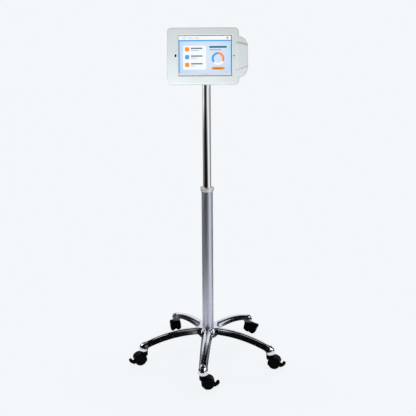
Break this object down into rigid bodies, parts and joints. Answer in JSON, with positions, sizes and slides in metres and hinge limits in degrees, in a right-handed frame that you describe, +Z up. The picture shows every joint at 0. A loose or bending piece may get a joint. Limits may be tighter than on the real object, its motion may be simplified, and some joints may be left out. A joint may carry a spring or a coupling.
{
  "type": "tablet kiosk stand",
  "caption": "Rolling floor stand with a telescopic column, an arched star base on braked twin-wheel casters and a tilting tablet enclosure with a side card reader.",
  "frame": {"origin": "on the floor, on the axis of the column", "axes": "+Z up along the column, -Y the way the screen faces, +X to the right of a person facing the screen"},
  "size_m": [0.6547, 0.5969, 1.3723],
  "materials": {
    "polished_aluminium": "polished casting",
    "satin_aluminium": "satin anodised",
    "chrome_tube": "bright chrome",
    "steel": "zinc plated",
    "nylon_white": "natural nylon",
    "nylon_black": "moulded, fine grain",
    "wheel_black": "moulded, matt tread",
    "white_plastic": "satin moulding",
    "grommet_rubber": "matt",
    "foam": "closed-cell foam",
    "tablet_aluminium": "bead blasted",
    "dark_glass": "dark printed glass",
    "display": "lit display",
    "read_head": "board and read head"
  },
  "bodies": {
    "base": {"base_casting": "polished_aluminium", "lower_tube": "satin_aluminium", "tube_plug": "satin_aluminium", "hub_bolt": "steel", "collar": "satin_aluminium", "collar_bush": "nylon_white", "collar_set_screw": "steel", "caster_sockets": "steel", "cable_grommet": "grommet_rubber"},
    "mast_foot": {"mast_glide": "nylon_white"},
    "mast": {"upper_tube": "chrome_tube", "pole_cap": "satin_aluminium", "tilt_bolt": "steel", "tilt_nut": "steel", "friction_washers": "nylon_white"},
    "head": {"tilt_bracket": "satin_aluminium", "bracket_screws": "steel", "rear_shell": "white_plastic", "shell_screws": "steel", "front_bezel": "white_plastic", "tablet_pads": "foam", "tablet_body": "tablet_aluminium", "tablet_glass": "dark_glass", "display_panel": "display", "camera_lens": "dark_glass", "card_rail": "white_plastic", "reader_cover": "white_plastic", "reader_head": "read_head"},
    "button": {"home_button": "dark_glass"},
    "caster_1_swivel": {"caster_1_stem": "steel", "caster_1_hood": "nylon_black", "caster_1_axle": "steel"},
    "caster_1_wheel_left": {"caster_1_wheel_a": "wheel_black"},
    "caster_1_wheel_right": {"caster_1_wheel_b": "wheel_black"},
    "caster_1_pedal": {"caster_1_brake": "nylon_black"},
    "caster_2_swivel": {"caster_2_stem": "steel", "caster_2_hood": "nylon_black", "caster_2_axle": "steel"},
    "caster_2_wheel_left": {"caster_2_wheel_a": "wheel_black"},
    "caster_2_wheel_right": {"caster_2_wheel_b": "wheel_black"},
    "caster_2_pedal": {"caster_2_brake": "nylon_black"},
    "caster_3_swivel": {"caster_3_stem": "steel", "caster_3_hood": "nylon_black", "caster_3_axle": "steel"},
    "caster_3_wheel_left": {"caster_3_wheel_a": "wheel_black"},
    "caster_3_wheel_right": {"caster_3_wheel_b": "wheel_black"},
    "caster_3_pedal": {"caster_3_brake": "nylon_black"},
    "caster_4_swivel": {"caster_4_stem": "steel", "caster_4_hood": "nylon_black", "caster_4_axle": "steel"},
    "caster_4_wheel_left": {"caster_4_wheel_a": "wheel_black"},
    "caster_4_wheel_right": {"caster_4_wheel_b": "wheel_black"},
    "caster_4_pedal": {"caster_4_brake": "nylon_black"},
    "caster_5_swivel": {"caster_5_stem": "steel", "caster_5_hood": "nylon_black", "caster_5_axle": "steel"},
    "caster_5_wheel_left": {"caster_5_wheel_a": "wheel_black"},
    "caster_5_wheel_right": {"caster_5_wheel_b": "wheel_black"},
    "caster_5_pedal": {"caster_5_brake": "nylon_black"}
  },
  "joints": [
    {"name": "mast_slide", "type": "slide", "parent": "base", "child": "mast_foot", "axis": [0, 0, 1], "range_m": [-0.35, 0.08]},
    {"name": "mast_turn", "type": "hinge", "parent": "mast_foot", "child": "mast", "pos_m": [0, 0, 0.7], "axis": [0, 0, 1], "range_deg": [-170, 170]},
    {"name": "head_tilt", "type": "hinge", "parent": "mast", "child": "head", "pos_m": [0, 0, 1.2555], "axis": [-1, 0, 0], "range_deg": [-16, 45]},
    {"name": "home_press", "type": "slide", "parent": "head", "child": "button", "axis": [0, 0.9613, -0.2756], "range_m": [0, 0.0005], "stiffness_N_per_m": 2000},
    {"name": "caster_1_turn", "type": "hinge", "parent": "base", "child": "caster_1_swivel", "pos_m": [-0.02166, -0.27515, 0.062], "axis": [0, 0, 1], "continuous": true},
    {"name": "caster_1_roll_left", "type": "hinge", "parent": "caster_1_swivel", "child": "caster_1_wheel_left", "pos_m": [-0.00223, -0.27345, 0.024], "axis": [-0.0872, 0.9962, 0], "continuous": true},
    {"name": "caster_1_roll_right", "type": "hinge", "parent": "caster_1_swivel", "child": "caster_1_wheel_right", "pos_m": [-0.00223, -0.27345, 0.024], "axis": [-0.0872, 0.9962, 0], "continuous": true},
    {"name": "caster_1_brake_press", "type": "hinge", "parent": "caster_1_swivel", "child": "caster_1_pedal", "pos_m": [0.02218, -0.27131, 0.017], "axis": [-0.0872, 0.9962, 0], "range_deg": [0, 14]},
    {"name": "caster_2_turn", "type": "hinge", "parent": "base", "child": "caster_2_swivel", "pos_m": [0.25499, -0.10562, 0.062], "axis": [0, 0, 1], "continuous": true},
    {"name": "caster_2_roll_left", "type": "hinge", "parent": "caster_2_swivel", "child": "caster_2_wheel_left", "pos_m": [0.27391, -0.11034, 0.024], "axis": [0.2419, 0.9703, 0], "continuous": true},
    {"name": "caster_2_roll_right", "type": "hinge", "parent": "caster_2_swivel", "child": "caster_2_wheel_right", "pos_m": [0.27391, -0.11034, 0.024], "axis": [0.2419, 0.9703, 0], "continuous": true},
    {"name": "caster_2_brake_press", "type": "hinge", "parent": "caster_2_swivel", "child": "caster_2_pedal", "pos_m": [0.29768, -0.11626, 0.017], "axis": [0.2419, 0.9703, 0], "range_deg": [0, 14]},
    {"name": "caster_3_turn", "type": "hinge", "parent": "base", "child": "caster_3_swivel", "pos_m": [0.17925, 0.20987, 0.062], "axis": [0, 0, 1], "continuous": true},
    {"name": "caster_3_roll_left", "type": "hinge", "parent": "caster_3_swivel", "child": "caster_3_wheel_left", "pos_m": [0.19374, 0.22292, 0.024], "axis": [-0.6691, 0.7431, 0], "continuous": true},
    {"name": "caster_3_roll_right", "type": "hinge", "parent": "caster_3_swivel", "child": "caster_3_wheel_right", "pos_m": [0.19374, 0.22292, 0.024], "axis": [-0.6691, 0.7431, 0], "continuous": true},
    {"name": "caster_3_brake_press", "type": "hinge", "parent": "caster_3_swivel", "child": "caster_3_pedal", "pos_m": [0.21195, 0.23931, 0.017], "axis": [-0.6691, 0.7431, 0], "range_deg": [0, 14]},
    {"name": "caster_4_turn", "type": "hinge", "parent": "base", "child": "caster_4_swivel", "pos_m": [-0.14421, 0.23533, 0.062], "axis": [0, 0, 1], "continuous": true},
    {"name": "caster_4_roll_left", "type": "hinge", "parent": "caster_4_swivel", "child": "caster_4_wheel_left", "pos_m": [-0.15056, 0.25377, 0.024], "axis": [-0.9455, -0.3256, 0], "continuous": true},
    {"name": "caster_4_roll_right", "type": "hinge", "parent": "caster_4_swivel", "child": "caster_4_wheel_right", "pos_m": [-0.15056, 0.25377, 0.024], "axis": [-0.9455, -0.3256, 0], "continuous": true},
    {"name": "caster_4_brake_press", "type": "hinge", "parent": "caster_4_swivel", "child": "caster_4_pedal", "pos_m": [-0.15854, 0.27693, 0.017], "axis": [-0.9455, -0.3256, 0], "range_deg": [0, 14]},
    {"name": "caster_5_turn", "type": "hinge", "parent": "base", "child": "caster_5_swivel", "pos_m": [-0.26837, -0.06443, 0.062], "axis": [0, 0, 1], "continuous": true},
    {"name": "caster_5_roll_left", "type": "hinge", "parent": "caster_5_swivel", "child": "caster_5_wheel_left", "pos_m": [-0.2867, -0.0711, 0.024], "axis": [0.342, -0.9397, 0], "continuous": true},
    {"name": "caster_5_roll_right", "type": "hinge", "parent": "caster_5_swivel", "child": "caster_5_wheel_right", "pos_m": [-0.2867, -0.0711, 0.024], "axis": [0.342, -0.9397, 0], "continuous": true},
    {"name": "caster_5_brake_press", "type": "hinge", "parent": "caster_5_swivel", "child": "caster_5_pedal", "pos_m": [-0.30972, -0.07948, 0.017], "axis": [0.342, -0.9397, 0], "range_deg": [0, 14]}
  ]
}
